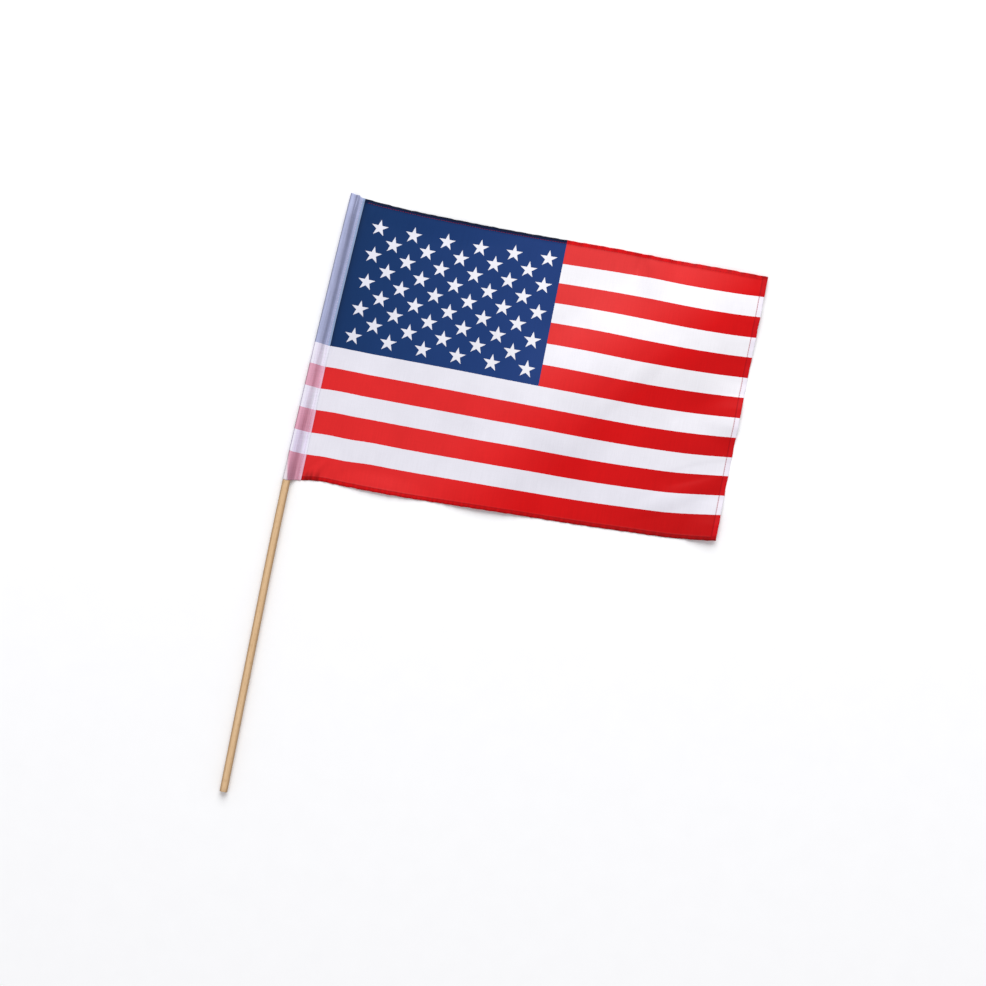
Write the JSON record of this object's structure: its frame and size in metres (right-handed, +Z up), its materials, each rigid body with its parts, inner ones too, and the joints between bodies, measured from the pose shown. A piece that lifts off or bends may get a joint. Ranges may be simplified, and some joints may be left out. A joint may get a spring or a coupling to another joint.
{
  "type": "national flag on a wooden stick",
  "caption": "Small national flag of thin hemmed cloth, its sleeve sewn round a plain round wooden stick, lying flat in soft folds.",
  "frame": {"origin": "on the surface it lies on, under the middle of the whole", "axes": "+Y along the stick, from its butt to the flag's top; +X from the stick to the fly; +Z up from the surface"},
  "size_m": [0.4488, 0.6274, 0.011],
  "materials": {
    "flag_cloth": "printed satin polyester",
    "stick": "plain sanded dowel"
  },
  "bodies": {
    "root": {"flag_cloth": "flag_cloth", "stick": "stick"}
  },
  "joints": []
}
